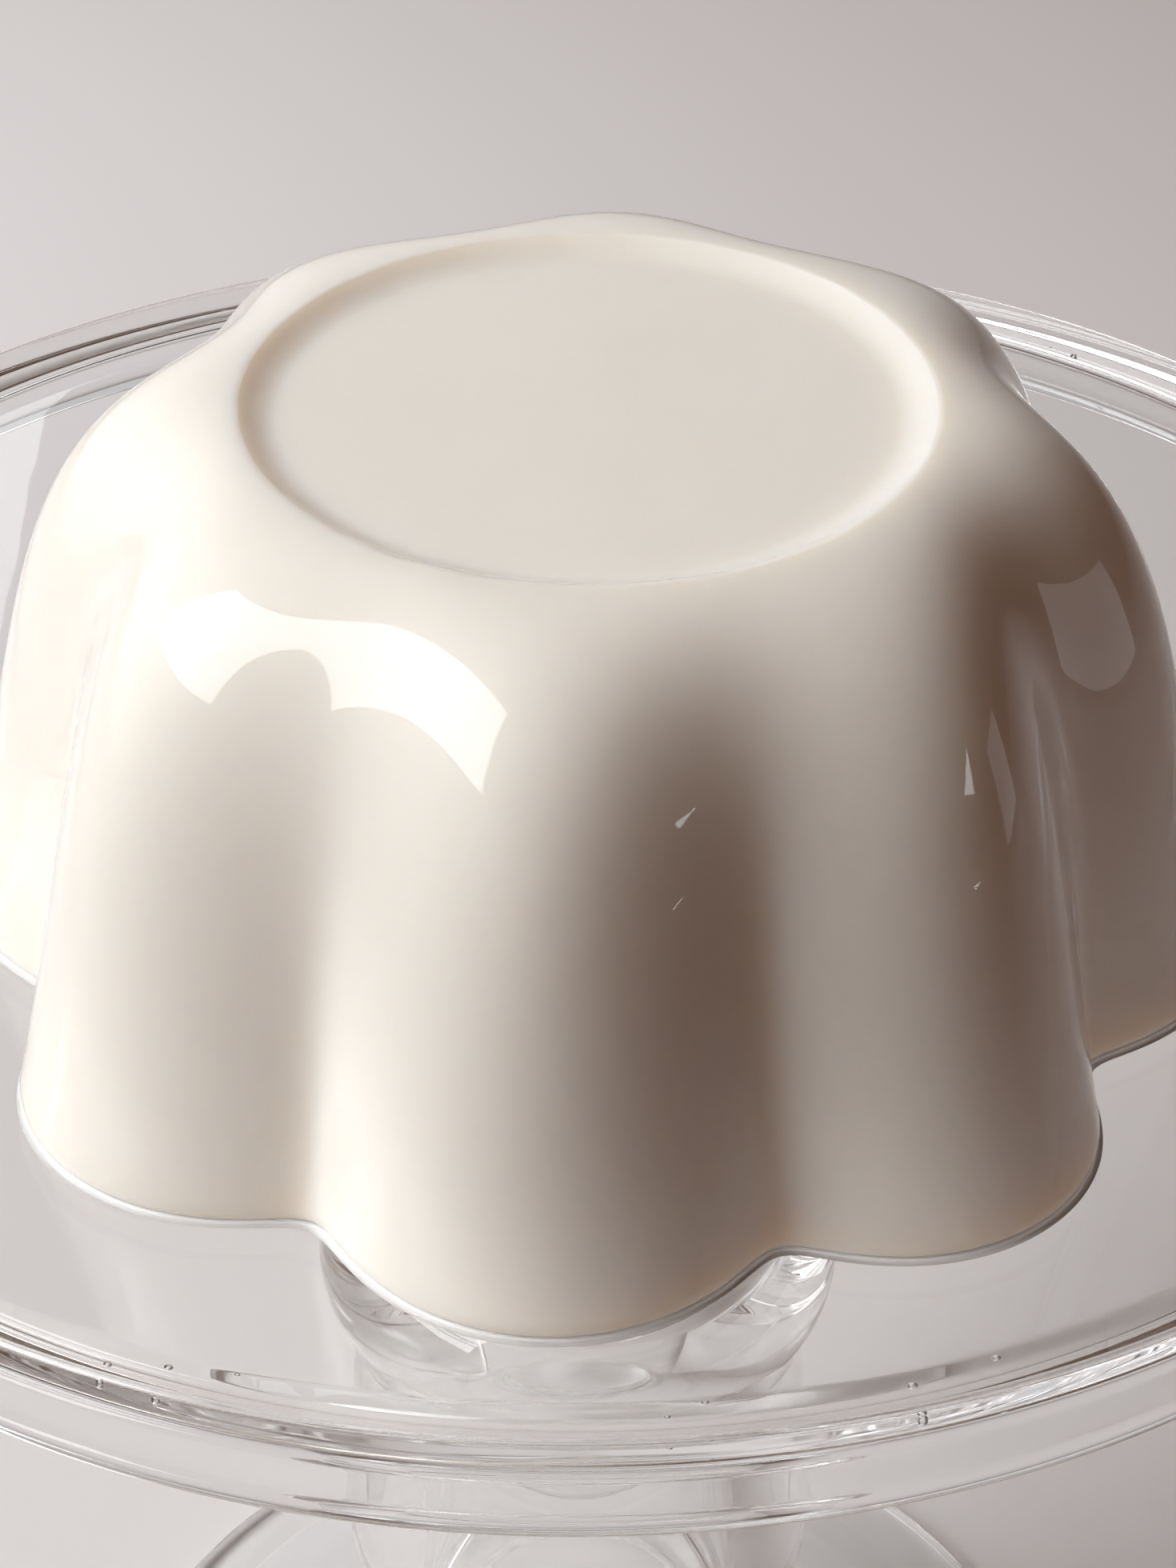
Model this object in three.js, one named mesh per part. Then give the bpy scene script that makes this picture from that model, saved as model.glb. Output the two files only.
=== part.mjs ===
// Blancmange turned out of a fluted mould onto a footed cake stand of clear glass.
// Millimetres, +Z up. The origin is on the stand's axis, at the level of its foot, and the front is -Y.

import * as THREE from 'three';

const { clamp, degToRad, euclideanModulo, lerp, radToDeg, smoothstep } = THREE.MathUtils;

// Plate of the stand. Levels are heights above the surface it stands on.
const standHeight = 186;
const plateRadius = 118;
const plateThickness = 4.5;
const rimRadius = 125;
const lipRise = 1.6;
const lipRound = 0.8;
const lipLeanDeg = 110;
const skirtDrop = 12.5;
const skirtWall = 4.5;
const skirtFillet = 2;

// Pedestal, from the plate down to the foot
const stemTopRadius = 46;
const flareRadius = 32;
const flareDrop = 9;
const neckRadius = 27;
const neckLevel = 140;
const knopRadius = 35;
const knopRound = 11;
const knopLevel = 101;
const stemRadius = 30;
const bellyRadius = 32.5;
const bellyLevel = 54;
const waistRadius = 29.5;
const waistLevel = 34;
const ankleRadius = 36.5;
const ankleLevel = 17;
const instepRadius = 52.5;
const instepLevel = 8;
const footRadius = 70;
const footEdge = 4;
const footLeanDeg = 60;

// Hollow of the pedestal, from the foot's ring up to its domed top
const footRing = 9;
const wall = 5.5;
const archRadius = 49;
const archLevel = 4;
const hollowAnkleRadius = 30.5;
const hollowAnkleLevel = 13;
const hollowTopRadius = 19;
const domeRadius = 14.25;
const domeLevel = 154;
const hollowTop = 160;

// Blancmange. Heights are measured from its base.
const lobes = 8;
const crownBaseRadius = 73;
const valleyBaseRadius = 62.5;
const ringRadius = 37.2;
const height = 68.2;
const recessDepth = 1.25;
const recessWall = 4.2;
const baseRound = 1.2;
const grooveRound = 0.05;
const broadenEnd = 0.8;
const restGap = 0.3;
const placeOnPlate = new THREE.Vector2(1.4, -36.2);

// Handles that bend the side on a lobe's crown and in the groove between two lobes
const crownLowHandle = new THREE.Vector2(64, 32);
const crownHighHandle = new THREE.Vector2(65.3, 67.2);
const valleyLowHandle = new THREE.Vector2(58, 22);
const valleyHighHandle = new THREE.Vector2(59.4, 67);

// Turn of the lobes, and their slight unevenness
const lobeTurn = degToRad(-5.3);
const lobeWander = degToRad(1.4);
const wanderTurn = degToRad(27.4);
const wanderWaves = 2;

// Mesh fineness
const standSegments = 56;
const lipPoints = 3;
const skirtPoints = 5;
const filletPoints = 2;
const neckPoints = 6;
const knopPoints = 6;
const stemPoints = 13;
const footPoints = 4;
const hollowPoints = 15;
const lobeSegments = 12;
const sidePoints = 16;
const recessPoints = 4;

const glass = new THREE.MeshStandardMaterial({
  color: 0xe9eceb,
  roughness: 0.03,
  metalness: 0,
  transparent: true,
  opacity: 0.35,
});

const milkPudding = new THREE.MeshStandardMaterial({
  color: 0xefe7da,
  roughness: 0.18,
  metalness: 0,
});

const point = (radius, level) => new THREE.Vector2(radius, level);

// Points along a circular arc, angles in degrees, both ends included.
function arc(centre, radius, fromDeg, toDeg, steps) {
  const from = degToRad(fromDeg);
  const to = degToRad(toDeg);
  const curve = new THREE.EllipseCurve(centre.x, centre.y, radius, radius, from, to, to < from);
  return curve.getPoints(steps);
}

// Points along a smooth curve through a few given points.
const smooth = (points, steps) => new THREE.SplineCurve(points).getPoints(steps);

// A profile of radii and levels turned once round the Z axis.
function turned(profile, segments) {
  const geometry = new THREE.LatheGeometry(profile, segments);
  geometry.rotateX(Math.PI / 2);
  return geometry;
}

// The rim turns up into a low lip and down into a skirt with a round lower edge.
function rimProfile() {
  const underside = standHeight - plateThickness;
  const skirtRound = skirtWall / 2;
  const lipCentre = point(rimRadius - lipRound, standHeight + lipRise - lipRound);
  const skirtCentre = point(rimRadius - skirtRound, standHeight - skirtDrop + skirtRound);
  const filletCentre = point(rimRadius - skirtWall - skirtFillet, underside - skirtFillet);
  return [
    point(plateRadius, standHeight),
    ...arc(lipCentre, lipRound, lipLeanDeg, 0, lipPoints),
    ...arc(skirtCentre, skirtRound, 0, -180, skirtPoints),
    ...arc(filletCentre, skirtFillet, 0, 90, filletPoints),
  ];
}

// The stem hangs from the plate by a flared neck, has one round knop, and flares into the foot.
function pedestalProfile() {
  const underside = standHeight - plateThickness;
  const knopCentre = point(knopRadius - knopRound, knopLevel);
  const knopTurn = Math.acos((stemRadius - knopCentre.x) / knopRound);
  const knopHalf = knopRound * Math.sin(knopTurn);
  const knopDeg = radToDeg(knopTurn);
  const neck = smooth([
    point(stemTopRadius, underside),
    point(flareRadius, underside - flareDrop),
    point(neckRadius, neckLevel),
    point(stemRadius, knopLevel + knopHalf),
  ], neckPoints);
  const lowerStem = smooth([
    point(stemRadius, knopLevel - knopHalf),
    point(bellyRadius, bellyLevel),
    point(waistRadius, waistLevel),
    point(ankleRadius, ankleLevel),
    point(instepRadius, instepLevel),
    point(footRadius - footEdge, footEdge),
  ], stemPoints);
  return [
    ...neck,
    ...arc(knopCentre, knopRound, knopDeg, -knopDeg, knopPoints).slice(1, -1),
    ...lowerStem,
  ];
}

function footProfile() {
  const edgeRound = footEdge / 2;
  return arc(point(footRadius - edgeRound, edgeRound), edgeRound, footLeanDeg, -90, footPoints);
}

// The pedestal is hollow from below. The hollow tapers upwards to a domed top.
function hollowProfile() {
  const hollowWaist = waistRadius - wall;
  return smooth([
    point(footRadius - footRing, 0),
    point(archRadius, archLevel),
    point(hollowAnkleRadius, hollowAnkleLevel),
    point(hollowWaist, waistLevel),
    point((hollowWaist + hollowTopRadius) / 2, knopLevel),
    point(hollowTopRadius, neckLevel),
    point(domeRadius, domeLevel),
    point(0, hollowTop),
  ], hollowPoints);
}

function cakeStand() {
  const profile = [
    point(0, standHeight),
    point(plateRadius / 2, standHeight),
    ...rimProfile(),
    ...pedestalProfile(),
    ...footProfile(),
    ...hollowProfile(),
  ];
  const mesh = new THREE.Mesh(turned(profile.reverse(), standSegments), glass);
  mesh.name = 'cake_stand';
  return mesh;
}

// The side of the blancmange from base to ring, on the crown of a lobe or in the groove between two.
const ringTop = point(ringRadius, height);
const crownBase = point(crownBaseRadius, baseRound);
const valleyBase = point(valleyBaseRadius, baseRound);
const crownSide = new THREE.CubicBezierCurve(crownBase, crownLowHandle, crownHighHandle, ringTop);
const valleySide = new THREE.CubicBezierCurve(valleyBase, valleyLowHandle, valleyHighHandle, ringTop);

// Base, side, and the shallow round recess that the mould's flat end leaves in the top.
function puddingProfile(side) {
  const base = [point(0, 0), point(side.v0.x - baseRound, 0)];
  const recess = Array.from({ length: recessPoints }, (_, i) => {
    const way = (i + 1) / recessPoints;
    return point(ringRadius - recessWall * way, height - recessDepth * smoothstep(way, 0, 1));
  });
  const floor = recess.at(-1);
  return {
    sideStart: base.length,
    points: [
      ...base,
      ...side.getPoints(sidePoints),
      ...recess,
      point(floor.x / 2, floor.y),
      point(0, floor.y),
    ],
  };
}

// How far towards the groove the outline has drawn in, 0 on a lobe's crown and 1 in the groove.
// The lobes are round arcs that meet in a narrow groove at the base, and a soft wave higher up.
function drawIn(angle, way) {
  const half = Math.PI / lobes;
  const folded = euclideanModulo(angle + half, 2 * half) - half;
  const fromGroove = Math.hypot(half - Math.abs(folded), grooveRound) - grooveRound;
  const onArc = half - fromGroove * half / (Math.hypot(half, grooveRound) - grooveRound);
  const spread = crownBaseRadius - valleyBaseRadius * Math.cos(half);
  const arcCentre = (crownBaseRadius ** 2 - valleyBaseRadius ** 2) / (2 * spread);
  const arcRadius = crownBaseRadius - arcCentre;
  const reach = Math.sqrt(arcRadius ** 2 - (arcCentre * Math.sin(onArc)) ** 2);
  const radius = arcCentre * Math.cos(onArc) + reach;
  const lobed = (crownBaseRadius - radius) / (crownBaseRadius - valleyBaseRadius);
  const waved = (1 - Math.cos(lobes * angle)) / 2;
  return lerp(lobed, waved, smoothstep(way, 0, broadenEnd));
}

// The crown profile turned round, each point then moved towards its partner on the groove profile.
function blancmange() {
  const crown = puddingProfile(crownSide);
  const valley = puddingProfile(valleySide);
  const geometry = turned(crown.points, lobes * lobeSegments);
  const position = geometry.attributes.position;
  for (let i = 0; i < position.count; i += 1) {
    const step = i % crown.points.length;
    const azimuth = Math.atan2(position.getX(i), -position.getY(i));
    const wander = lobeWander * Math.sin(wanderWaves * (azimuth + wanderTurn));
    const way = clamp((step - crown.sideStart) / sidePoints, 0, 1);
    const inward = drawIn(azimuth - lobeTurn - wander, way);
    const placed = crown.points[step].clone().lerp(valley.points[step], inward);
    position.setXYZ(i, placed.x * Math.sin(azimuth), -placed.x * Math.cos(azimuth), placed.y);
  }
  const mesh = new THREE.Mesh(geometry, milkPudding);
  mesh.name = 'blancmange';
  mesh.position.set(placeOnPlate.x, placeOnPlate.y, standHeight + restGap);
  return mesh;
}

const group = new THREE.Group();
group.add(cakeStand(), blancmange());

export default group;
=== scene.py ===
import math

import bpy
import numpy as np
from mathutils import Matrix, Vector


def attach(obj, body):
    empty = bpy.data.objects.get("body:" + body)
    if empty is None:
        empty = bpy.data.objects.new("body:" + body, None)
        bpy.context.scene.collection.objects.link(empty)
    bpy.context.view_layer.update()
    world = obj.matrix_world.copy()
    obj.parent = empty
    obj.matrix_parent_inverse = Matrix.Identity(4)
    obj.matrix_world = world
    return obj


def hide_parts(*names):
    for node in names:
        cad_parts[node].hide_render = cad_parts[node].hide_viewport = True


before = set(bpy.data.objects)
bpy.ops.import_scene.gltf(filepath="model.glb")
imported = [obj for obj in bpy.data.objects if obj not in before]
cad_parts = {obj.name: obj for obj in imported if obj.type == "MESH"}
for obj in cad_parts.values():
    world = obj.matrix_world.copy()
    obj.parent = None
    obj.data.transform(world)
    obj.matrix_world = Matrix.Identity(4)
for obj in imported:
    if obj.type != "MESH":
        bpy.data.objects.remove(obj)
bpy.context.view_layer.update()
scene = bpy.context.scene
mm = 0.001
print("frame loaded:", ", ".join(sorted(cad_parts)))


# node helpers, for geometry and for materials

mixSockets = {"FLOAT": (2, 3, 0), "VECTOR": (4, 5, 1), "RGBA": (6, 7, 2)}


def feed(tree, socket, value):
    if isinstance(value, bpy.types.NodeSocket):
        tree.links.new(value, socket)
    else:
        socket.default_value = value


def feedAll(tree, node, values):
    for label, value in values.items():
        feed(tree, node.inputs[label], value)


def addNode(tree, kind, **settings):
    node = tree.nodes.new(kind)
    for name, value in settings.items():
        setattr(node, name, value)
    return node


def calc(tree, operation, *values):
    node = addNode(tree, "ShaderNodeMath", operation=operation)
    for socket, value in zip(node.inputs, values):
        feed(tree, socket, value)
    return node.outputs[0]


def vectorCalc(tree, operation, *values):
    node = addNode(tree, "ShaderNodeVectorMath", operation=operation)
    sockets = (node.inputs[0], node.inputs["Scale"]) if operation == "SCALE" else node.inputs
    for socket, value in zip(sockets, values):
        feed(tree, socket, value)
    return node.outputs["Value" if operation in ("DOT_PRODUCT", "LENGTH") else "Vector"]


def vectorOf(tree, x, y, z):
    node = addNode(tree, "ShaderNodeCombineXYZ")
    for socket, value in zip(node.inputs, (x, y, z)):
        feed(tree, socket, value)
    return node.outputs[0]


def partsOf(tree, vector):
    node = addNode(tree, "ShaderNodeSeparateXYZ")
    feed(tree, node.inputs[0], vector)
    return node.outputs


def blend(tree, way, a, b, kind="FLOAT"):
    first, second, result = mixSockets[kind]
    node = addNode(tree, "ShaderNodeMix", data_type=kind, clamp_factor=kind == "RGBA")
    for index, value in zip((0, first, second), (way, a, b)):
        feed(tree, node.inputs[index], value)
    return node.outputs[result]


def between(tree, value, low, high, smooth=False):  # 0 at low, 1 at high, held outside
    node = addNode(tree, "ShaderNodeMapRange", interpolation_type="SMOOTHSTEP" if smooth else "LINEAR")
    for index, number in zip(range(5), (value, low, high, 0.0, 1.0)):
        feed(tree, node.inputs[index], number)
    return node.outputs[0]


def noise(tree, place, look):
    node = addNode(tree, "ShaderNodeTexNoise")
    feedAll(tree, node, {"Vector": place, "Scale": look["scale"], "Detail": look["detail"]})
    return node.outputs[0]


def newTree(name, inputs, outputs):
    tree = bpy.data.node_groups.new(name, "GeometryNodeTree")
    for label, kind in inputs.items():
        tree.interface.new_socket(label, in_out="INPUT", socket_type="NodeSocket" + kind)
    for label, kind in outputs.items():
        tree.interface.new_socket(label, in_out="OUTPUT", socket_type="NodeSocket" + kind)
    return tree, addNode(tree, "NodeGroupInput").outputs, addNode(tree, "NodeGroupOutput").inputs


def useGroup(tree, group, values):
    node = addNode(tree, "GeometryNodeGroup", node_tree=group)
    feedAll(tree, node, values)
    return node.outputs[0]


def through(tree, kind, shape, **values):  # a shape passed through one geometry node
    node = addNode(tree, kind)
    feed(tree, node.inputs[0], shape)
    feedAll(tree, node, values)
    return node.outputs[0]


def closeTree(tree, shape, material, out):  # ends every tree that makes a piece
    smooth = through(tree, "GeometryNodeSetShadeSmooth", shape)
    real = through(tree, "GeometryNodeRealizeInstances", smooth)
    feed(tree, out[0], through(tree, "GeometryNodeSetMaterial", real, Material=material))


def pieceFromTree(name, tree, values, startMesh=None):
    maker = bpy.data.objects.new(name + "Maker", startMesh or bpy.data.meshes.new(name + "Start"))
    scene.collection.objects.link(maker)
    modifier = maker.modifiers.new(name, "NODES")
    modifier.node_group = tree
    for item in tree.interface.items_tree:
        if item.in_out == "INPUT" and item.name in values:
            modifier[item.identifier] = values[item.name]
    graph = bpy.context.evaluated_depsgraph_get()
    made = maker.evaluated_get(graph)
    mesh = bpy.data.meshes.new_from_object(made, preserve_all_data_layers=True, depsgraph=graph)
    mesh.name = name
    bpy.data.objects.remove(maker)
    piece = bpy.data.objects.new(name, mesh)
    scene.collection.objects.link(piece)
    print(name, "made,", sum(len(p.vertices) - 2 for p in mesh.polygons), "triangles")
    return piece


# material helpers

def newMaterial(name):
    material = bpy.data.materials.new(name)
    material.use_nodes = True
    tree = material.node_tree
    place = addNode(tree, "ShaderNodeTexCoord").outputs["Object"]
    return material, tree, tree.nodes["Principled BSDF"], place


def tinted(tree, place, look):
    return blend(tree, noise(tree, place, look), look["pale"], look["deep"], "RGBA")


def bump(tree, height, look, under=None):
    node = addNode(tree, "ShaderNodeBump")
    feedAll(tree, node, {"Strength": look["strength"], "Distance": look["distance"], "Height": height})
    if under is not None:
        feed(tree, node.inputs["Normal"], under)
    return node.outputs[0]


# milk pudding: set milk under a wet film, a little uneven in tint

puddingLook = {
    "tint": {
        "scale": 38.0, "detail": 4.0,
        "pale": (0.922, 0.892, 0.818, 1.0), "deep": (0.893, 0.853, 0.769, 1.0),
    },
    "gloss": {"scale": 210.0, "detail": 3.0, "low": 0.25, "high": 0.35},
    "ripple": {"scale": 95.0, "detail": 1.0, "strength": 0.16, "distance": 0.4 * mm},
    "grain": {"scale": 1400.0, "detail": 2.0, "strength": 0.05, "distance": 0.06 * mm},
    "surface": {
        "Subsurface Weight": 1.0,
        "Subsurface Radius": (1.0, 0.66, 0.38),
        "Subsurface Scale": 7 * mm,
        "IOR": 1.36,
        "Specular IOR Level": 0.2,
        "Coat Weight": 1.0,
        "Coat Roughness": 0.02,
        "Coat IOR": 1.36,
    },
    "nickFacing": (-0.45, -0.56, 0.69),
    "nickSoft": 0.05 * mm,
    "nickEnd": 0.97,
    "nicks": [
        {"from": (12.25, -89.85, 239.6), "to": (9.95, -91.85, 238.25), "wide": 0.45},
        {"from": (11.6, -93.3, 232.1), "to": (9.7, -95.0, 230.55), "wide": 0.16},
        {"from": (38.85, -81.2, 240.9), "to": (39.3, -83.6, 236.1), "wide": 0.7},
        {"from": (41.2, -85.8, 227.6), "to": (39.95, -86.7, 226.9), "wide": 0.28},
    ],
}


def nickMask(tree, place, nick, look):  # 1 inside a small wedge that widens from one end to the other
    start = Vector(nick["from"]) * mm
    axis = Vector(nick["to"]) * mm - start
    off = vectorCalc(tree, "SUBTRACT", place, start)
    along = vectorCalc(tree, "DOT_PRODUCT", off, axis.normalized())
    onAxis = vectorCalc(tree, "SCALE", axis.normalized(), along)
    apart = vectorCalc(tree, "LENGTH", vectorCalc(tree, "SUBTRACT", off, onAxis))
    share = calc(tree, "DIVIDE", along, axis.length)
    reach = calc(tree, "MULTIPLY", share, nick["wide"] * mm)
    inside = between(tree, calc(tree, "SUBTRACT", reach, apart), 0.0, look["nickSoft"])
    return calc(tree, "MULTIPLY", inside, between(tree, share, 1.0, look["nickEnd"]))


def puddingMaterial(look):
    material, tree, shader, place = newMaterial("milkPudding")
    gloss = look["gloss"]
    ripple = bump(tree, noise(tree, place, look["ripple"]), look["ripple"])
    grain = bump(tree, noise(tree, place, look["grain"]), look["grain"], ripple)
    nicked = 0.0  # a few shallow nicks catch the light
    for nick in look["nicks"]:
        nicked = calc(tree, "MAXIMUM", nicked, nickMask(tree, place, nick, look))
    facing = blend(tree, nicked, ripple, look["nickFacing"], "VECTOR")
    shader.subsurface_method = "BURLEY"
    feedAll(tree, shader, look["surface"])
    feedAll(tree, shader, {
        "Base Color": tinted(tree, place, look["tint"]),
        "Roughness": blend(tree, noise(tree, place, gloss), gloss["low"], gloss["high"]),
        "Normal": grain,
        "Coat Normal": vectorCalc(tree, "NORMALIZE", facing),
    })
    return material


# clear glass with a faint waviness from pressing, and thin whey for the damp edge

glassLook = {
    "tint": (0.965, 0.975, 0.972, 1.0),
    "dullest": 0.02,
    "wave": {"scale": 34.0, "detail": 2.0, "strength": 0.03, "distance": 0.6 * mm},
    "surface": {"Transmission Weight": 1.0, "IOR": 1.51},
}
wheyLook = {
    "tint": (0.955, 0.950, 0.935, 1.0),
    "dullest": 0.02,
    "wave": {"scale": 120.0, "detail": 2.0, "strength": 0.03, "distance": 0.2 * mm},
    "surface": {"Transmission Weight": 0.5, "IOR": 1.33},
}


def clearMaterial(name, look):
    material, tree, shader, place = newMaterial(name)
    wave = noise(tree, place, look["wave"])
    feedAll(tree, shader, look["surface"])
    feedAll(tree, shader, {
        "Base Color": blend(tree, wave, (1.0, 1.0, 1.0, 1.0), look["tint"], "RGBA"),
        "Roughness": blend(tree, wave, 0.0, look["dullest"]),
        "Normal": bump(tree, wave, look["wave"]),
    })
    return material


milkPudding = puddingMaterial(puddingLook)
clearGlass = clearMaterial("clearGlass", glassLook)
thinWhey = clearMaterial("thinWhey", wheyLook)
print("materials made")


# blancmange: eight lobes, round at the base and softer towards the ring on top

pudding = {
    "Lobes": 8.0,
    "Crown Radius": 73 * mm,
    "Valley Radius": 62.5 * mm,
    "Groove Round": 0.05,
    "Broaden End": 0.8,
    "Lobe Turn": math.radians(-5.3),
    "Lobe Wander": math.radians(1.4),
    "Wander Turn": math.radians(27.4),
    "Wander Waves": 2.0,
    "Crown Low": (64 * mm, 0.0, 32 * mm),
    "Crown High": (65.3 * mm, 0.0, 67.2 * mm),
    "Valley Low": (58 * mm, 0.0, 22 * mm),
    "Valley High": (59.4 * mm, 0.0, 67 * mm),
    "Ring Radius": 37.2 * mm,
    "Height": 68.2 * mm,
    "Base Round": 1.2 * mm,
    "Recess Wall": 4.2 * mm,
    "Recess Depth": 1.5 * mm,
    "Recess Steep": 1.7,
    "Uneven": 0.22 * mm,
    "Ring Uneven": 0.22 * mm,
    "Place": (1.4 * mm, -36.2 * mm, 186.3 * mm),
    "Around": 480,
    "Base Rows": 6,
    "Round Rows": 5,
    "Side Rows": 112,
    "Recess Rows": 14,
    "Floor Rows": 12,
}
unevenness = {
    "broad": {"scale": 42.0, "detail": 1.0},
    "fine": {"scale": 150.0, "detail": 1.0},
    "ringReach": (3.5 * mm, 0.5 * mm),
    "ringLevels": (0.94, 0.97),
    "fromBase": (1 * mm, 8 * mm),
}
lobeInputs = ("Lobes", "Crown Radius", "Valley Radius", "Groove Round", "Broaden End")
turnInputs = ("Lobe Turn", "Lobe Wander", "Wander Turn", "Wander Waves")


def lobeGroup():  # 0 on a lobe's crown, 1 in the groove between two
    inputs = {n: "Float" for n in ("Angle", "Way", *lobeInputs)}
    tree, given, out = newTree("lobeDraw", inputs, {"Inward": "Float"})
    crown, valley, groove = given["Crown Radius"], given["Valley Radius"], given["Groove Round"]
    half = calc(tree, "DIVIDE", math.pi, given["Lobes"])
    whole = calc(tree, "MULTIPLY", half, 2.0)
    turned = calc(tree, "FLOORED_MODULO", calc(tree, "ADD", given["Angle"], half), whole)
    fromCrown = calc(tree, "ABSOLUTE", calc(tree, "SUBTRACT", turned, half))
    away = calc(tree, "SUBTRACT", half, fromCrown)

    def rounded(distance):  # the groove's bottom is a small round
        square = calc(tree, "ADD", calc(tree, "POWER", distance, 2.0), calc(tree, "POWER", groove, 2.0))
        return calc(tree, "SUBTRACT", calc(tree, "SQRT", square), groove)

    share = calc(tree, "DIVIDE", rounded(away), rounded(half))
    onArc = calc(tree, "MULTIPLY", half, calc(tree, "SUBTRACT", 1.0, share))
    spread = calc(tree, "SUBTRACT", crown, calc(tree, "MULTIPLY", valley, calc(tree, "COSINE", half)))
    squares = calc(tree, "SUBTRACT", calc(tree, "POWER", crown, 2.0), calc(tree, "POWER", valley, 2.0))
    centre = calc(tree, "DIVIDE", squares, calc(tree, "MULTIPLY", spread, 2.0))
    arcRadius = calc(tree, "SUBTRACT", crown, centre)
    across = calc(tree, "MULTIPLY", centre, calc(tree, "SINE", onArc))
    reach = calc(tree, "SUBTRACT", calc(tree, "POWER", arcRadius, 2.0), calc(tree, "POWER", across, 2.0))
    along = calc(tree, "MULTIPLY", centre, calc(tree, "COSINE", onArc))
    radius = calc(tree, "ADD", along, calc(tree, "SQRT", reach))
    depth = calc(tree, "SUBTRACT", crown, valley)
    lobed = calc(tree, "DIVIDE", calc(tree, "SUBTRACT", crown, radius), depth)
    swing = calc(tree, "COSINE", calc(tree, "MULTIPLY", given["Lobes"], given["Angle"]))
    waved = calc(tree, "MULTIPLY", calc(tree, "SUBTRACT", 1.0, swing), 0.5)
    soft = between(tree, given["Way"], 0.0, given["Broaden End"], smooth=True)
    feed(tree, out[0], blend(tree, soft, lobed, waved))
    return tree


def sideGroup():  # one side curve from base to ring, bent by two handles
    points = ("Start", "Low", "High", "End")
    inputs = {"Way": "Float", **{p: "Vector" for p in points}}
    tree, given, out = newTree("sideCurve", inputs, {"Point": "Vector"})
    line = [given[p] for p in points]
    while len(line) > 1:
        line = [blend(tree, given["Way"], a, b, "VECTOR") for a, b in zip(line, line[1:])]
    feed(tree, out[0], line[0])
    return tree


lobeDraw = lobeGroup()
sideCurve = sideGroup()


def gridAround(tree, around, rows):  # a sheet of points, each with its row and its turn round the axis
    grid = addNode(tree, "GeometryNodeMeshGrid")
    feedAll(tree, grid, {"Vertices X": calc(tree, "ADD", around, 1.0), "Vertices Y": rows})
    index = addNode(tree, "GeometryNodeInputIndex").outputs[0]
    column = calc(tree, "FLOOR", calc(tree, "DIVIDE", calc(tree, "ADD", index, 0.5), rows))
    row = calc(tree, "SUBTRACT", index, calc(tree, "MULTIPLY", column, rows))
    share = calc(tree, "DIVIDE", column, around)
    turn = calc(tree, "SUBTRACT", calc(tree, "MULTIPLY", share, math.tau), math.pi)
    return grid.outputs["Mesh"], row, turn


def inwardAt(tree, given, turn, way):  # the lobes stand slightly turned and unevenly spaced
    swing = calc(tree, "MULTIPLY", calc(tree, "ADD", turn, given["Wander Turn"]), given["Wander Waves"])
    wander = calc(tree, "MULTIPLY", given["Lobe Wander"], calc(tree, "SINE", swing))
    angle = calc(tree, "SUBTRACT", calc(tree, "SUBTRACT", turn, given["Lobe Turn"]), wander)
    return useGroup(tree, lobeDraw, {"Angle": angle, "Way": way, **{n: given[n] for n in lobeInputs}})


def placeRound(tree, mesh, radius, turn, level, centre):
    x = calc(tree, "MULTIPLY", radius, calc(tree, "SINE", turn))
    y = calc(tree, "MULTIPLY", calc(tree, "MULTIPLY", radius, calc(tree, "COSINE", turn)), -1.0)
    place = vectorCalc(tree, "ADD", vectorOf(tree, x, y, level), centre)
    moved = through(tree, "GeometryNodeSetPosition", mesh, Position=place)
    return through(tree, "GeometryNodeMergeByDistance", moved, Distance=1e-6)


def unevenShape(tree, given, shape, look):  # broad swells all over, finer ones along the ring
    place = addNode(tree, "GeometryNodeInputPosition").outputs[0]
    spot = partsOf(tree, vectorCalc(tree, "SUBTRACT", place, given["Place"]))
    squares = [calc(tree, "POWER", spot[k], 2.0) for k in (0, 1)]
    fromAxis = calc(tree, "SQRT", calc(tree, "ADD", *squares))
    offRing = calc(tree, "ABSOLUTE", calc(tree, "SUBTRACT", fromAxis, given["Ring Radius"]))
    high = between(tree, spot[2], *[calc(tree, "MULTIPLY", given["Height"], s) for s in look["ringLevels"]])
    nearRing = calc(tree, "MULTIPLY", between(tree, offRing, *look["ringReach"], smooth=True), high)

    def swell(pattern, amount):
        return calc(tree, "MULTIPLY", calc(tree, "SUBTRACT", noise(tree, place, pattern), 0.5), amount)

    fine = calc(tree, "MULTIPLY", swell(look["fine"], given["Ring Uneven"]), nearRing)
    rise = calc(tree, "ADD", swell(look["broad"], given["Uneven"]), fine)
    rise = calc(tree, "MULTIPLY", rise, between(tree, spot[2], *look["fromBase"], smooth=True))
    outward = addNode(tree, "GeometryNodeInputNormal").outputs[0]
    return through(tree, "GeometryNodeSetPosition", shape, Offset=vectorCalc(tree, "SCALE", outward, rise))


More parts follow.
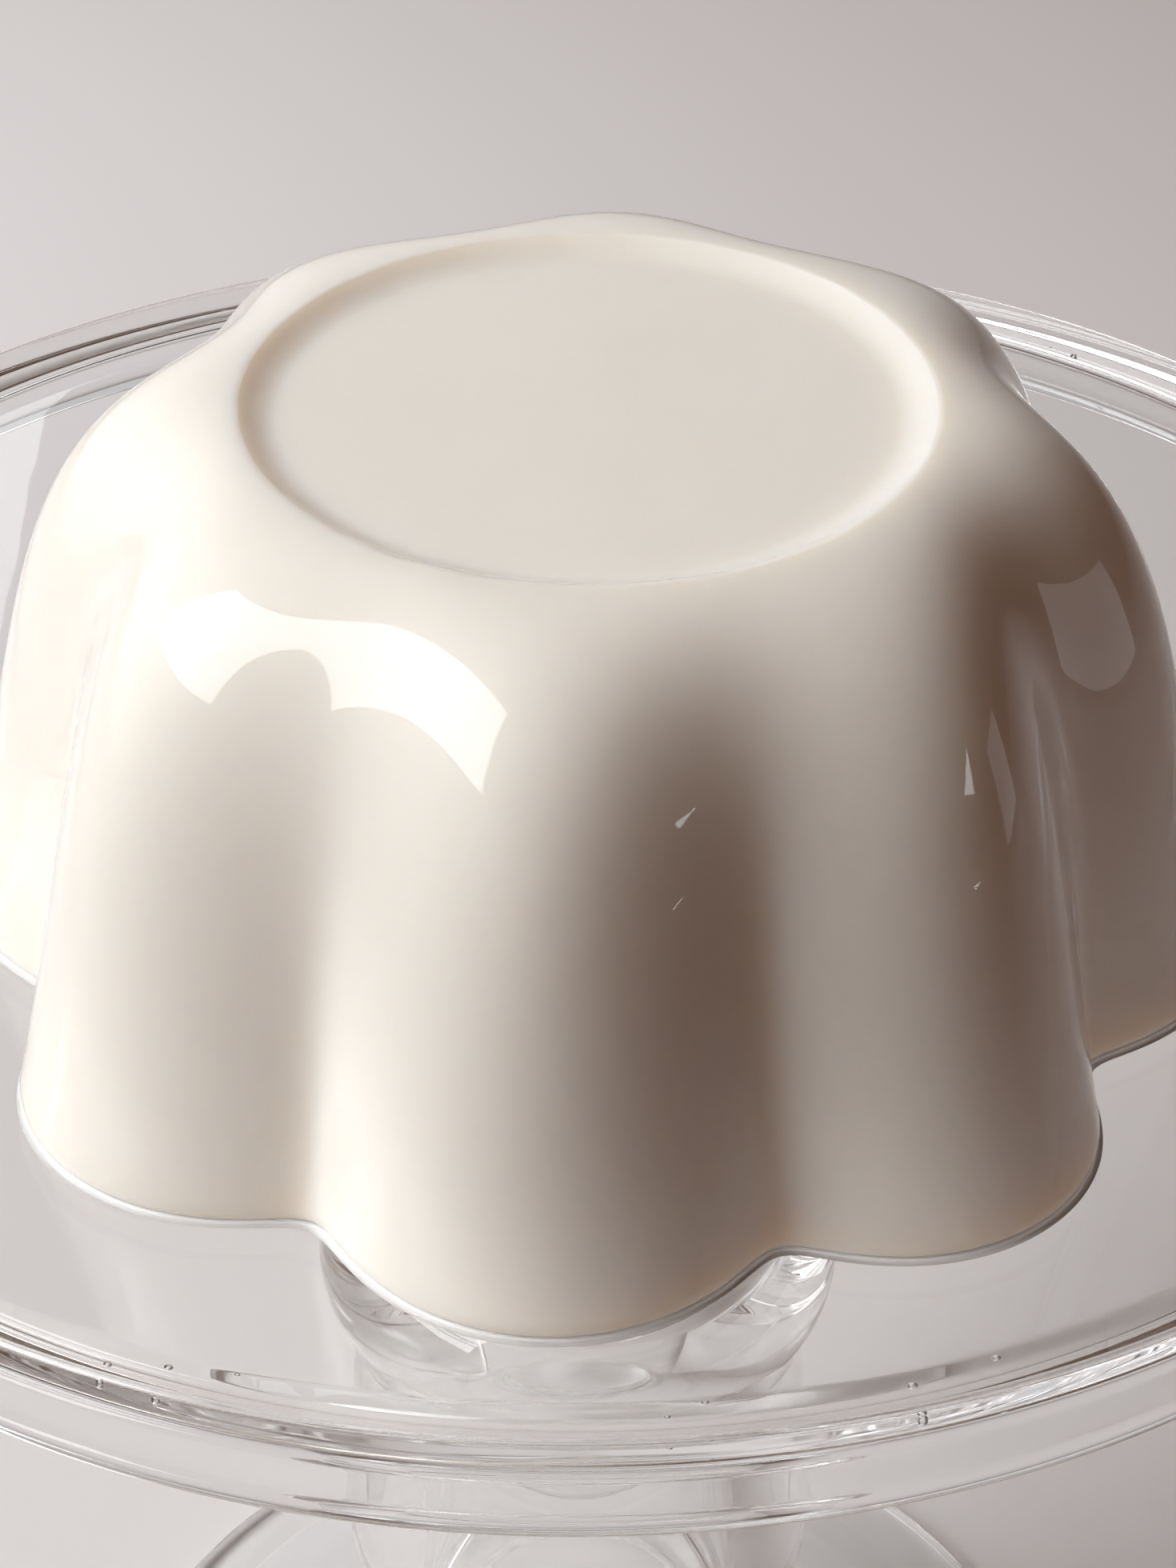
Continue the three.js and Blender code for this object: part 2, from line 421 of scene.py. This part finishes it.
def puddingTree():
    kinds = {tuple: "Vector", int: "Int", float: "Float"}
    inputs = {**{n: kinds[type(v)] for n, v in pudding.items()}, "Material": "Material"}
    tree, given, out = newTree("blancmangeShape", inputs, {"Geometry": "Geometry"})
    ends, total = [], 0.0  # the rows run from the base's middle to the top's middle
    for part in ("Base", "Round", "Side", "Recess", "Floor"):
        start, total = total, calc(tree, "ADD", total, given[part + " Rows"])
        ends.append((start, total))
    mesh, row, turn = gridAround(tree, given["Around"], calc(tree, "ADD", total, 1.0))
    base, edge, way, wall, floor = (between(tree, row, *pair) for pair in ends)
    top = vectorOf(tree, given["Ring Radius"], 0.0, given["Height"])
    sides = []
    for kind in ("Crown", "Valley"):
        foot = vectorOf(tree, given[kind + " Radius"], 0.0, given["Base Round"])
        handles = {"Low": given[kind + " Low"], "High": given[kind + " High"]}
        sides.append(useGroup(tree, sideCurve, {"Way": way, "Start": foot, **handles, "End": top}))
    side = partsOf(tree, blend(tree, inwardAt(tree, given, turn, way), *sides, "VECTOR"))
    # the flat base and the round at its edge
    bend = calc(tree, "MULTIPLY", edge, math.pi / 2)
    baseRound = given["Base Round"]
    radius = calc(tree, "MULTIPLY", calc(tree, "SUBTRACT", side[0], baseRound), base)
    radius = calc(tree, "ADD", radius, calc(tree, "MULTIPLY", baseRound, calc(tree, "SINE", bend)))
    level = calc(tree, "SUBTRACT", side[2], calc(tree, "MULTIPLY", baseRound, calc(tree, "COSINE", bend)))
    # the recess inside the ring: a steep wall that runs out into a flat floor
    slide = calc(tree, "POWER", wall, 2.0)
    radius = calc(tree, "SUBTRACT", radius, calc(tree, "MULTIPLY", given["Recess Wall"], slide))
    radius = calc(tree, "MULTIPLY", radius, calc(tree, "SUBTRACT", 1.0, floor))
    left = calc(tree, "POWER", calc(tree, "SUBTRACT", 1.0, slide), given["Recess Steep"])
    drop = calc(tree, "MULTIPLY", given["Recess Depth"], calc(tree, "SUBTRACT", 1.0, left))
    shape = placeRound(tree, mesh, radius, turn, calc(tree, "SUBTRACT", level, drop), given["Place"])
    closeTree(tree, unevenShape(tree, given, shape, unevenness), given["Material"], out)
    return tree


puddingBody = pieceFromTree("puddingBody", puddingTree(), {**pudding, "Material": milkPudding})


# damp edge: the thin line of clear whey that creeps out round the base

damp = {
    "Width": 0.5 * mm,
    "Rise": 0.35 * mm,
    "Under": 0.8 * mm,
    "Level": (*pudding["Place"][:2], 186.03 * mm),
    "Around": 480,
    "Fillet Rows": 8,
}
dampSpread = {"scale": 3.0, "detail": 2.0, "least": 0.45, "most": 1.5}


def dampTree():
    inputs = {
        **{n: "Float" for n in ("Width", "Rise", "Under")},
        "Level": "Vector", "Around": "Int", "Fillet Rows": "Int",
        **{n: "Float" for n in lobeInputs + turnInputs},
        "Material": "Material",
    }
    tree, given, out = newTree("dampEdgeShape", inputs, {"Geometry": "Geometry"})
    fillet = given["Fillet Rows"]
    mesh, row, turn = gridAround(tree, given["Around"], calc(tree, "ADD", fillet, 4.0))
    inward = inwardAt(tree, given, turn, 0.0)
    outline = blend(tree, inward, given["Crown Radius"], given["Valley Radius"])
    ring = vectorOf(tree, calc(tree, "SINE", turn), calc(tree, "COSINE", turn), 0.0)
    spread = blend(tree, noise(tree, ring, dampSpread), dampSpread["least"], dampSpread["most"])
    width = calc(tree, "MULTIPLY", given["Width"], spread)
    bend = calc(tree, "MULTIPLY", between(tree, row, 0.0, fillet), math.pi / 2)
    ends = [calc(tree, "ADD", fillet, k) for k in (0.0, 1.0, 2.0, 3.0)]
    inUnder, down, outAgain = (between(tree, row, a, b) for a, b in zip(ends, ends[1:]))
    off = calc(tree, "MULTIPLY", width, calc(tree, "SUBTRACT", 1.0, calc(tree, "SINE", bend)))
    off = calc(tree, "SUBTRACT", off, calc(tree, "MULTIPLY", given["Under"], inUnder))
    across = calc(tree, "ADD", width, given["Under"])
    off = calc(tree, "ADD", off, calc(tree, "MULTIPLY", across, outAgain))
    level = calc(tree, "SUBTRACT", calc(tree, "SUBTRACT", 1.0, calc(tree, "COSINE", bend)), down)
    level = calc(tree, "MULTIPLY", level, given["Rise"])
    shape = placeRound(tree, mesh, calc(tree, "ADD", outline, off), turn, level, given["Level"])
    closeTree(tree, shape, given["Material"], out)
    return tree


dampEdge = pieceFromTree("dampEdge", dampTree(), {
    **damp, **{n: pudding[n] for n in lobeInputs + turnInputs}, "Material": thinWhey,
})


# glass cake stand: one turned outline, levels above the surface it stands on, in millimetres

stand = {
    "height": 186,
    "plate": 118,
    "thickness": 4.5,
    "rim": 125,
    "crease": 0.8,
    "segments": 288,
    "lip": {"rise": 1.6, "round": 0.8, "lean": 110},
    "skirt": {"drop": 12.5, "wall": 4.5, "fillet": 2},
    "neck": [(46, 181.5), (32, 172.5), (27, 140)],
    "knop": {"radius": 35, "round": 11, "level": 101, "stem": 30},
    "lower": [(32.5, 54), (29.5, 34), (36.5, 17), (52.5, 8), (66, 4)],
    "foot": {"radius": 70, "edge": 4, "lean": 60},
    "hollow": [(61, 0), (49, 4), (30.5, 13), (24, 34), (21.5, 101), (19, 140), (14.25, 154), (0, 160)],
}
airSeeds = {
    "Seeds": 46,
    "Seed Number": 7,
    "radius": (116.5 * mm, 121.8 * mm),
    "level": (182.6 * mm, 185.0 * mm),
    "size": (0.42, 0.84),
    "stretch": (0.9, 1.5),
}


def arcPoints(centre, radius, fromDeg, toDeg, steps):
    turns = np.radians(np.linspace(fromDeg, toDeg, steps + 1))
    return [(centre[0] + radius * math.cos(t), centre[1] + radius * math.sin(t)) for t in turns]


def smoothLine(points, steps):  # even Catmull-Rom through the points
    line = np.array([points[0], *points, points[-1]], float)
    made = []
    for way in np.linspace(0, len(points) - 1, steps + 1):
        k = min(int(way), len(points) - 2)
        t = way - k
        a, b, c, d = line[k:k + 4]
        start, end = (c - a) / 2, (d - b) / 2
        cubic = 2 * b - 2 * c + start + end
        square = 3 * c - 3 * b - 2 * start - end
        made.append(tuple(cubic * t**3 + square * t**2 + start * t + b))
    return made


def roundedCorner(before, corner, after, size, steps):
    corner = Vector(corner)
    a = corner + (Vector(before) - corner).normalized() * size
    b = corner + (Vector(after) - corner).normalized() * size
    ways = [k / steps for k in range(steps + 1)]
    return [tuple(a.lerp(corner, t).lerp(corner.lerp(b, t), t)) for t in ways]


def standOutline(look):
    top, rim, plate = look["height"], look["rim"], look["plate"]
    under = top - look["thickness"]
    edge, skirt, knop, foot = look["lip"], look["skirt"], look["knop"], look["foot"]
    lipCentre = (rim - edge["round"], top + edge["rise"] - edge["round"])
    lip = arcPoints(lipCentre, edge["round"], edge["lean"], 0, 10)
    half = skirt["wall"] / 2
    inner = rim - skirt["wall"] - skirt["fillet"]
    turn = math.acos((knop["stem"] - knop["radius"] + knop["round"]) / knop["round"])
    rise = knop["round"] * math.sin(turn)
    knopCentre = (knop["radius"] - knop["round"], knop["level"])
    swelling = arcPoints(knopCentre, knop["round"], math.degrees(turn), -math.degrees(turn), 16)
    footRound = foot["edge"] / 2
    return [
        *[(r, top) for r in np.linspace(0, plate - 4, 12)],
        *roundedCorner((0, top), (plate, top), lip[0], look["crease"], 5),
        *lip,
        *arcPoints((rim - half, top - skirt["drop"] + half), half, 0, -180, 24),
        *arcPoints((inner, under - skirt["fillet"]), skirt["fillet"], 0, 90, 10),
        *[(r, under) for r in np.linspace(inner - 2, look["neck"][0][0] + 2, 8)],
        *smoothLine(look["neck"] + [(knop["stem"], knop["level"] + rise)], 26),
        *swelling[1:-1],
        *smoothLine([(knop["stem"], knop["level"] - rise)] + look["lower"], 60),
        *arcPoints((foot["radius"] - footRound, footRound), footRound, foot["lean"], -90, 10),
        *smoothLine(look["hollow"], 60),
    ]


def turnedMesh(name, outline, segments):
    line = np.array(outline, float)[::-1] * mm
    turns = np.linspace(0, math.tau, segments, endpoint=False)
    ring = line[1:-1]
    verts = [(r * math.sin(t), -r * math.cos(t), z) for t in turns for r, z in ring]
    verts += [(0, 0, line[0][1]), (0, 0, line[-1][1])]
    n, low, high = len(ring), len(verts) - 2, len(verts) - 1
    faces = []
    for c in range(segments):
        here, there = c * n, (c + 1) % segments * n
        faces += [(here + j, there + j, there + j + 1, here + j + 1) for j in range(n - 1)]
        faces += [(low, there, here), (here + n - 1, there + n - 1, high)]
    mesh = bpy.data.meshes.new(name)
    mesh.from_pydata(verts, [], faces)
    mesh.update()
    return mesh


def standTree(look):  # the turned glass with small air seeds shut in its rim
    tree, given, out = newTree("cakeStandShape", {
        "Geometry": "Geometry", "Seeds": "Int", "Seed Number": "Int", "Material": "Material",
    }, {"Geometry": "Geometry"})

    def anyValue(low, high, step):
        node = addNode(tree, "FunctionNodeRandomValue", data_type="FLOAT")
        node.inputs[2].default_value = low
        node.inputs[3].default_value = high
        feed(tree, node.inputs["Seed"], calc(tree, "ADD", given["Seed Number"], float(step)))
        return node.outputs[1]

    turn = anyValue(-math.pi, math.pi, 0)
    radius = anyValue(*look["radius"], 1)
    x = calc(tree, "MULTIPLY", radius, calc(tree, "SINE", turn))
    y = calc(tree, "MULTIPLY", radius, calc(tree, "COSINE", turn))
    spots = addNode(tree, "GeometryNodePoints")
    place = vectorOf(tree, x, y, anyValue(*look["level"], 2))
    feedAll(tree, spots, {"Count": given["Seeds"], "Position": place})
    bubble = addNode(tree, "GeometryNodeMeshIcoSphere")
    feedAll(tree, bubble, {"Radius": 1 * mm, "Subdivisions": 2})
    size = calc(tree, "POWER", anyValue(*look["size"], 3), 2.0)
    tall = calc(tree, "MULTIPLY", size, anyValue(*look["stretch"], 4))
    scatter = through(tree, "GeometryNodeInstanceOnPoints", spots.outputs[0],
                      Instance=bubble.outputs[0], Scale=vectorOf(tree, size, size, tall))
    real = through(tree, "GeometryNodeRealizeInstances", scatter)
    hollow = through(tree, "GeometryNodeFlipFaces", real)  # a seed is a hollow in the glass
    join = addNode(tree, "GeometryNodeJoinGeometry")
    feed(tree, join.inputs[0], hollow)
    feed(tree, join.inputs[0], given["Geometry"])
    closeTree(tree, join.outputs[0], given["Material"], out)
    return tree


turnedGlass = turnedMesh("turnedGlass", standOutline(stand), stand["segments"])
glassStand = pieceFromTree("glassStand", standTree(airSeeds), {
    "Seeds": airSeeds["Seeds"], "Seed Number": airSeeds["Seed Number"], "Material": clearGlass,
}, turnedGlass)

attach(puddingBody, "root")
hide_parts("blancmange")
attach(glassStand, "root")
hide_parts("cake_stand")
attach(dampEdge, "root")
dampEdge.visible_shadow = False  # too thin to shade what it lies on
print("pieces placed")


# pale floor in two halves

floorLook = {
    "size": 3.0,
    "level": -0.3 * mm,
    "tint": {"scale": 3.0, "detail": 2.0, "pale": (0.87, 0.85, 0.845, 1.0), "deep": (0.83, 0.81, 0.805, 1.0)},
    "surface": {"Roughness": 0.7, "Specular IOR Level": 0.2},
}


def makeFloor(look):
    material, tree, shader, place = newMaterial("paleFloor")
    feed(tree, shader.inputs["Base Color"], tinted(tree, place, look["tint"]))
    feedAll(tree, shader, look["surface"])
    half = look["size"] / 2
    for name, front, back in (("floorBack", 0, half), ("floorFront", -half, 0)):
        corners = [(-half, front, 0), (half, front, 0), (half, back, 0), (-half, back, 0)]
        mesh = bpy.data.meshes.new(name)
        mesh.from_pydata(corners, [], [(0, 1, 2, 3)])
        mesh.materials.append(material)
        floor = bpy.data.objects.new(name, mesh)
        scene.collection.objects.link(floor)
        floor.location.z = look["level"]
        floor.visible_diffuse = name == "floorBack"  # the front half sends no light up into the grooves


makeFloor(floorLook)


# light: a tall panel on the left, a faint one on the right, a wash over the floor, a pale glow behind

lights = {
    "middle": (*pudding["Place"][:2], 245 * mm),
    "leftPanel": {
        "side": -76.7, "distance": 0.8, "low": 0.363, "high": 1.527, "wide": 1.09,
        "power": 18.9, "colour": (0.975, 0.99, 1.0),
    },
    "rightPanel": {
        "side": 93, "distance": 0.9, "low": -0.24, "high": 0.05, "wide": 0.3,
        "power": 0.2, "colour": (0.95, 0.97, 1.0),
    },
    "wash": {
        "place": (-0.36, 0.55, 0.5), "size": 0.4, "power": 1.2, "colour": (0.95, 0.97, 1.0),
    },
    "surround": {
        "dim": (0.084, 0.040, 0.022, 1.0), "bright": (0.60, 0.59, 0.60, 1.0),
        "towards": (-0.55, 0.82, 0.12), "from": 0.3, "to": 0.85, "fadeLow": 0.35, "fadeHigh": 0.75,
        "backdrop": (0.50, 0.49, 0.48, 1.0),
    },
}


def panelLight(name, place, facing, width, tall, look):
    data = bpy.data.lights.new(name, "AREA")
    data.shape = "RECTANGLE"
    data.size, data.size_y = width, tall
    data.energy, data.color = look["power"], look["colour"]
    lamp = bpy.data.objects.new(name, data)
    lamp.location = place
    lamp.rotation_euler = Vector(facing).to_track_quat("-Z", "Y").to_euler()
    lamp.visible_camera = False
    scene.collection.objects.link(lamp)
    return lamp


def uprightLight(name, look):  # turned to the blancmange; its sizes are shares of its distance
    side, distance = math.radians(look["side"]), look["distance"]
    away = Vector((math.sin(side), -math.cos(side), 0)) * distance
    rise = Vector((0, 0, (look["low"] + look["high"]) / 2)) * distance
    tall = (look["high"] - look["low"]) * distance
    panelLight(name, Vector(lights["middle"]) + away + rise, -away, look["wide"] * distance, tall, look)


def surroundGlow(look):  # pale behind the stand, dim and warm in front of it
    world = bpy.data.worlds.new("surround")
    world.use_nodes = True
    tree = world.node_tree
    way = addNode(tree, "ShaderNodeTexCoord").outputs["Generated"]
    facing = vectorCalc(tree, "DOT_PRODUCT", way, Vector(look["towards"]).normalized())
    behind = between(tree, facing, look["from"], look["to"], smooth=True)
    below = between(tree, partsOf(tree, way)[2], look["fadeHigh"], look["fadeLow"], smooth=True)
    glow = blend(tree, calc(tree, "MULTIPLY", behind, below), look["dim"], look["bright"], "RGBA")
    seen = addNode(tree, "ShaderNodeLightPath").outputs["Is Camera Ray"]  # a plain backdrop behind the floor
    colour = blend(tree, seen, glow, look["backdrop"], "RGBA")
    feed(tree, tree.nodes["Background"].inputs["Color"], colour)
    scene.world = world


for name in ("leftPanel", "rightPanel"):
    uprightLight(name, lights[name])
wash = lights["wash"]
washLamp = panelLight("wash", wash["place"], (0, 0, -1), wash["size"], wash["size"], wash)
washLamp.visible_glossy = False
surroundGlow(lights["surround"])


# camera at the photograph's angle

view = {
    "place": (1.4 * mm, -407.3 * mm, 466.5 * mm),
    "tilt": 54.73,
    "lens": 91.84,
    "sensor": 36,
    "nearest": 0.01,
}

camera = bpy.data.cameras.new("camera")
camera.lens = view["lens"]
camera.sensor_width = view["sensor"]
camera.clip_start = view["nearest"]
cameraStand = bpy.data.objects.new("camera", camera)
cameraStand.location = view["place"]
cameraStand.rotation_euler = (math.radians(view["tilt"]), 0, 0)
scene.collection.objects.link(cameraStand)
scene.camera = cameraStand
scene.view_settings.view_transform = "Standard"
bounces = 64  # light runs far along inside the plate
scene.cycles.max_bounces = bounces
scene.cycles.diffuse_bounces = 2
scene.cycles.transmission_bounces = bounces
scene.cycles.glossy_bounces = bounces
scene.cycles.blur_glossy = 0  # else the glass dims the light that falls through it
print("camera and light set")
